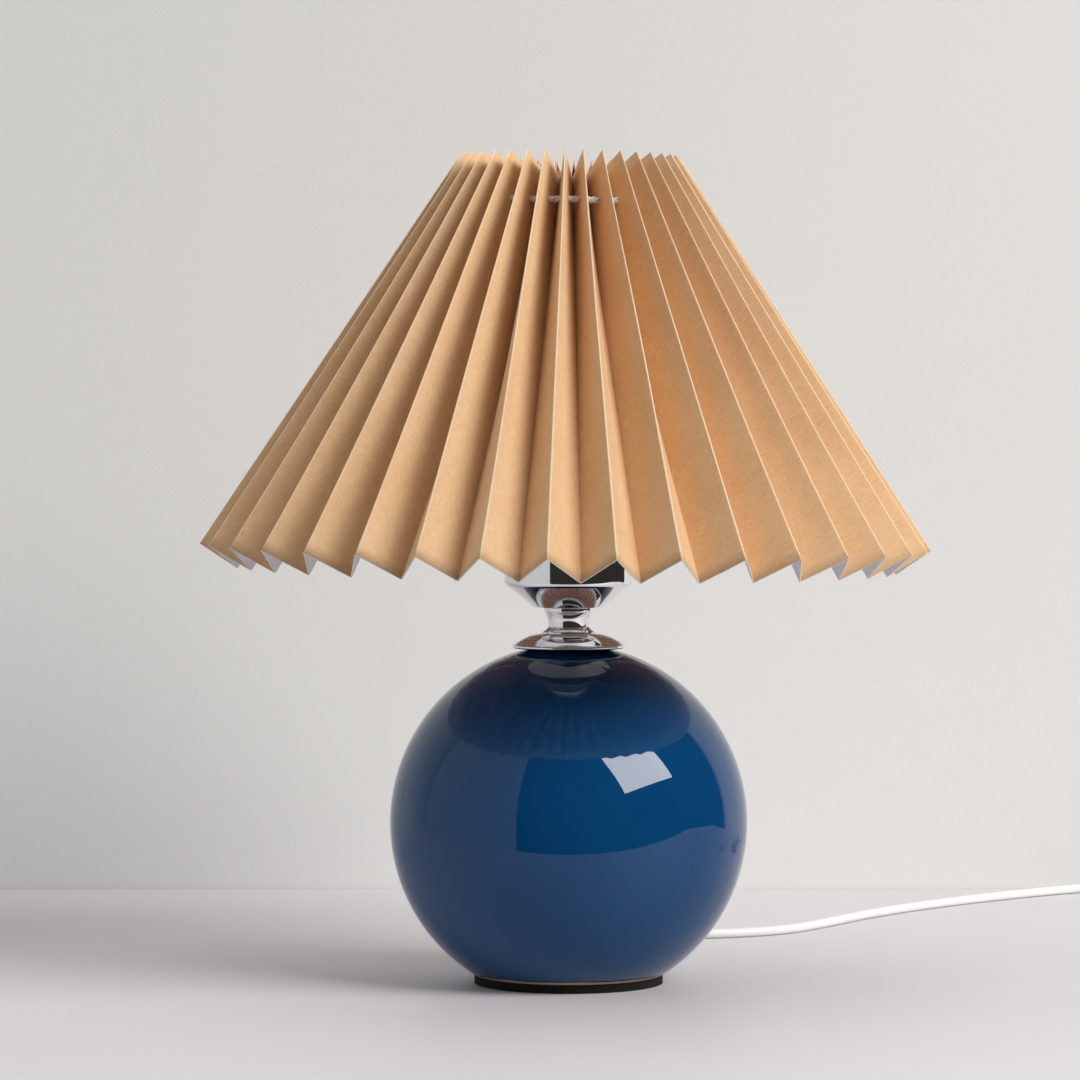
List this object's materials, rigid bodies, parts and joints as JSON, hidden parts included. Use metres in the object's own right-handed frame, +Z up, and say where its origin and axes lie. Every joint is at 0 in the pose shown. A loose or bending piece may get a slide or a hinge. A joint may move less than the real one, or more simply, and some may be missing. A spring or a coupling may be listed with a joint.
{
  "type": "table lamp",
  "caption": "Ball-shaped ceramic table lamp with a chrome neck and cup, a pleated conical shade on a wire carrier, a bulb, and a flex with a rocker switch and a plug.",
  "frame": {"origin": "centre of the foot pad's underside, on the lamp's axis", "axes": "+Z up along the lamp's axis, -Y towards the viewer, +X to the right, flex leaving at +Y"},
  "size_m": [0.4985, 0.515, 0.3471],
  "materials": {
    "felt_pad": "black felted foam",
    "blue_glaze": "glossy deep blue glaze",
    "zinc_steel": "zinc plated steel",
    "chrome": "mirror chrome plate",
    "black_resin": "moulded lampholder resin",
    "porcelain": "unglazed porcelain",
    "brass": "bare brass",
    "white_paint": "white powder coat",
    "linen_laminate": "tan linen on white plastic lining",
    "cotton_string": "grey white twisted cotton",
    "bulb_metal": "nickel plated screw cap",
    "bulb_plastic": "white moulded plastic",
    "opal_dome": "opal diffuser",
    "white_pvc": "white moulded PVC",
    "brown_wire": "brown wire insulation",
    "blue_wire": "blue wire insulation",
    "pin_metal": "nickel plated brass"
  },
  "bodies": {
    "root": {"foot_pad": "felt_pad", "ball_base": "blue_glaze", "bottom_plate": "zinc_steel", "lock_washer": "zinc_steel", "bottom_nut": "zinc_steel", "threaded_tube": "zinc_steel", "vase_cap": "chrome", "neck_spool": "chrome", "cup": "chrome", "cup_nut": "zinc_steel", "holder_cap": "black_resin", "holder_shell": "black_resin", "holder_core": "porcelain", "screw_shell": "brass", "centre_contact": "brass", "terminal_screws": "brass", "strain_relief": "white_pvc", "flex_in_tube": "white_pvc", "live_wire": "brown_wire", "neutral_wire": "blue_wire", "flex_to_switch": "white_pvc", "switch_base": "white_pvc", "switch_cover": "white_pvc", "rocker_pin": "zinc_steel", "switch_screws": "zinc_steel", "switch_contacts": "brass", "switch_wires": "blue_wire", "flex_coil": "white_pvc", "flex_to_coil": "white_pvc", "flex_to_plug": "white_pvc", "plug_body": "white_pvc", "plug_pins": "pin_metal", "pin_sleeves": "white_pvc", "coil_tie": "white_pvc"},
    "bulb": {"bulb_tip": "bulb_metal", "bulb_insulator": "black_resin", "bulb_cap": "bulb_metal", "bulb_housing": "bulb_plastic", "led_board": "bulb_plastic", "bulb_dome": "opal_dome"},
    "ring_nut": {"ring_nut": "black_resin"},
    "shade_carrier": {"fitter_ring": "white_paint", "carrier_arms": "white_paint", "carrier_hoop": "white_paint"},
    "shade_cover": {"pleated_cover": "linen_laminate", "draw_string": "cotton_string"},
    "rocker": {"switch_rocker": "white_pvc"}
  },
  "joints": [
    {"name": "shade_turn", "type": "hinge", "parent": "root", "child": "shade_carrier", "pos_m": [0, 0, 0.1975], "axis": [0, 0, 1], "continuous": true},
    {"name": "cover_lift", "type": "slide", "parent": "shade_carrier", "child": "shade_cover", "axis": [0, 0, 1], "range_m": [0, 0.08]},
    {"name": "ring_nut_unscrew", "type": "slide", "parent": "root", "child": "ring_nut", "axis": [0, 0, 1], "range_m": [0, 0.011]},
    {"name": "bulb_unscrew", "type": "slide", "parent": "root", "child": "bulb", "axis": [0, 0, 1], "range_m": [0, 0.014]},
    {"name": "rocker_tilt", "type": "hinge", "parent": "root", "child": "rocker", "pos_m": [0.328, 0.271, 0.0129], "axis": [1, 0, 0], "range_deg": [0, 16]}
  ]
}
